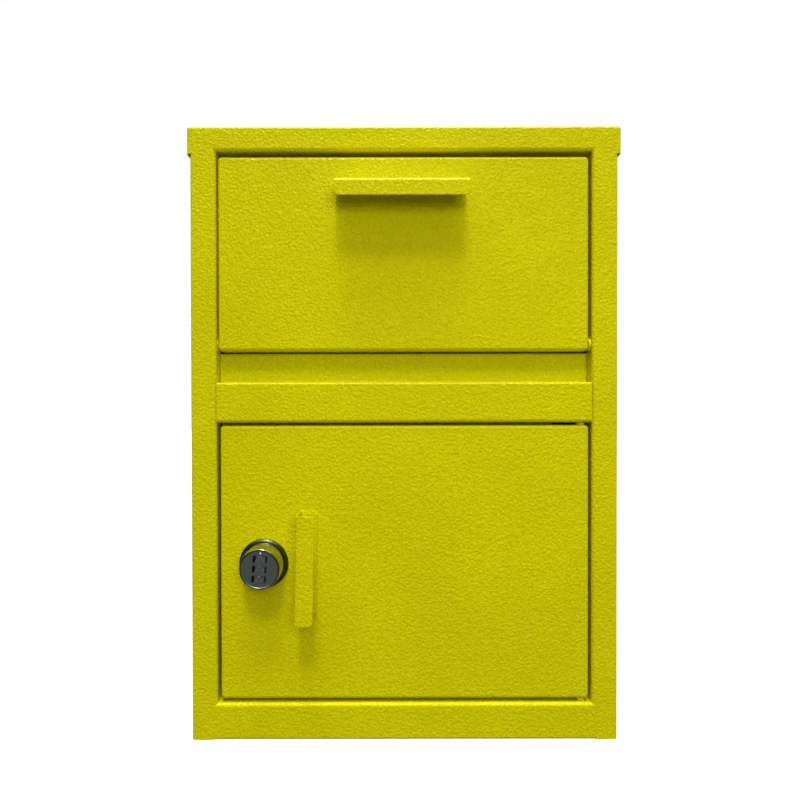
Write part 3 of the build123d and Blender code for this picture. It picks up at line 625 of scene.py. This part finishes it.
def dial_numerals(here):
    """All ten numerals, one on each of a dial's lands."""
    bm = bmesh.new()
    for digit, flat in enumerate(numerals):
        on_land = here @ Matrix.Rotation(2 * pi * digit / LANDS, 4, "Z") @ UPRIGHT
        start = len(bm.verts)
        bm.from_mesh(flat)
        bm.verts.ensure_lookup_table()
        for vert in bm.verts[start:]:
            vert.co = on_land @ vert.co
    return bm


numerals = []
for digit in range(LANDS):
    text = bpy.data.curves.new(f"numeral_{digit}", "FONT")
    text.body = str(digit)
    text.size = NUMERAL_HEIGHT / CAPITAL_SHARE
    text.align_x = "CENTER"
    text.extrude = NUMERAL_RISE
    text.resolution_u = 4
    holder = bpy.data.objects.new(f"numeral_{digit}", text)
    scene.collection.objects.link(holder)
    numerals.append(bpy.data.meshes.new_from_object(
        holder.evaluated_get(bpy.context.evaluated_depsgraph_get())))
    bpy.data.objects.remove(holder)

for number, center in enumerate(DIAL_CENTERS, 1):
    here = dial_frame(center)
    wheel = mesh_object(f"dial_{number}_wheel", dial_wheel(here), MATERIALS["dial_metal"])
    piece(wheel, f"dial_{number}", f"dial_wheel_{number}")
    piece(mesh_object(f"dial_{number}_numerals", dial_numerals(here), INK), f"dial_{number}")

# --- Stage ------------------------------------------------------------------------------------

FLOOR_RADIUS = 7.0
FLOOR_GAP = 0.2 * MM             # keeps the floor clear of the box's underside
FLOOR_GLOW = 0.72

# The floor and the backdrop are seen by the camera, and light nothing.
floor_nodes = Nodes("pale_floor")
floor_nodes.set(floor_nodes.surface, Base_Color=(0.5, 0.5, 0.5, 1), Roughness=0.9,
                Specular_IOR_Level=0.1, Emission_Color=(1, 1, 1, 1), Emission_Strength=FLOOR_GLOW)
bm = bmesh.new()
bmesh.ops.create_circle(bm, cap_ends=True, radius=FLOOR_RADIUS, segments=96,
                        matrix=Matrix.Translation((0, 0, BOX_LOW.z - FLOOR_GAP)))
floor = mesh_object("floor", bm, floor_nodes.material)
floor.visible_diffuse = False
floor.visible_glossy = False

backdrop_nodes = Nodes("white_backdrop")
glow = backdrop_nodes.tree.nodes.new("ShaderNodeEmission")
backdrop_nodes.link(glow.outputs[0], backdrop_nodes.output.inputs["Surface"])
bm = bmesh.new()
bmesh.ops.create_icosphere(bm, subdivisions=5, radius=FLOOR_RADIUS * 1.05)
backdrop = mesh_object("backdrop", bm, backdrop_nodes.material)
for ray in ("diffuse", "glossy", "transmission", "volume_scatter", "shadow"):
    setattr(backdrop, f"visible_{ray}", False)

# --- Light ------------------------------------------------------------------------------------

# A soft sky that brightens overhead. Each stop has its place on the way from straight down (0)
# to straight up (1), and its brightness.
SKY = ((0.0, 0.22), (0.5, 0.09), (0.75, 0.12), (1.0, 1.9))
world = bpy.data.worlds.new("studio")
scene.world = world
world.use_nodes = True
sky = world.node_tree
sky.nodes.clear()
sky_out = sky.nodes.new("ShaderNodeOutputWorld")
sky_glow = sky.nodes.new("ShaderNodeBackground")
direction = sky.nodes.new("ShaderNodeTexCoord")
split = sky.nodes.new("ShaderNodeSeparateXYZ")
rise = sky.nodes.new("ShaderNodeMapRange")
rise.inputs[1].default_value = -1.0
ramp = sky.nodes.new("ShaderNodeValToRGB")
ramp.color_ramp.interpolation = "EASE"
sky.links.new(direction.outputs["Generated"], split.inputs[0])
sky.links.new(split.outputs["Z"], rise.inputs[0])
sky.links.new(rise.outputs[0], ramp.inputs[0])
sky.links.new(ramp.outputs[0], sky_glow.inputs["Color"])
sky.links.new(sky_glow.outputs[0], sky_out.inputs["Surface"])
stops = ramp.color_ramp.elements
stops[0].position, stops[1].position = SKY[0][0], SKY[-1][0]
for place, level in SKY[1:-1]:
    stops.new(place)
for stop, (place, level) in zip(sorted(stops, key=lambda s: s.position), SKY):
    stop.color = (level, level, level, 1)


def lamp(name, kind, energy, tilt, turn=0, place=(0, 0, 0)):
    """Light that looks straight down, tilted about X and then turned about Z, in degrees."""
    light = bpy.data.lights.new(name, kind)
    light.energy = energy
    obj = bpy.data.objects.new(name, light)
    obj.location = place
    obj.rotation_euler = (radians(tilt), 0, radians(turn))
    scene.collection.objects.link(obj)
    return obj


# Three suns from the front and above: a broad one nearly overhead, a small one that ends the
# handle's shadow, and a low broad one that thins the shadow out on the way down.
for name, energy, elevation, spread in (("overhead", 1.2, 77, 16), ("key", 0.8, 57, 9),
                                        ("low", 0.08, 30, 24)):
    lamp(name, "SUN", energy, 90 - elevation).data.angle = radians(spread)

# A panel in front, to the right of the lock, that gives no reflection.
FRONT_SIZE = (0.6, 0.45)
FRONT_PLACE = (0.15, BOX_LOW.y - 1.1, 0.52)
front = lamp("front", "AREA", 4.9, 78, 7.8, FRONT_PLACE)
front.visible_glossy = False
front.data.shape = "RECTANGLE"
front.data.size, front.data.size_y = FRONT_SIZE

# Fill lights beside and behind the box, which at most graze its front.
FILL_SIZE = 0.8
FILL_HEIGHT = 0.6
for name, x, y, turn in (("right_fill", 1.3, 0.15, 90), ("left_fill", -1.3, 0.15, -90),
                         ("back_fill", 0.2, 1.4, 180)):
    fill = lamp(name, "AREA", 5.0, 74, turn, (x, y, FILL_HEIGHT))
    fill.visible_glossy = False
    fill.data.shape = "SQUARE"
    fill.data.size = FILL_SIZE

# --- Camera -----------------------------------------------------------------------------------

CAMERA_PLACE = (-15.5 * MM, -643 * MM, 273.7 * MM)
CAMERA_TILT = 89.5               # degrees from straight down
CAMERA_ROLL = 0.1
SENSOR_WIDTH = 36.0              # millimetres, as is the lens
LENS = 28.65
LENS_SHIFT = (0.01845, 0.01295)
NEAR_LIMIT = 0.02
camera_data = bpy.data.cameras.new("camera")
camera_data.sensor_width = SENSOR_WIDTH
camera_data.lens = LENS
camera_data.shift_x, camera_data.shift_y = LENS_SHIFT
camera_data.dof.use_dof = False
camera_data.clip_start = NEAR_LIMIT
camera = bpy.data.objects.new("camera", camera_data)
camera.location = CAMERA_PLACE
camera.rotation_euler = (radians(CAMERA_TILT), radians(CAMERA_ROLL), 0)
scene.collection.objects.link(camera)
scene.camera = camera

scene.view_settings.view_transform = "Standard"
scene.view_settings.look = "None"
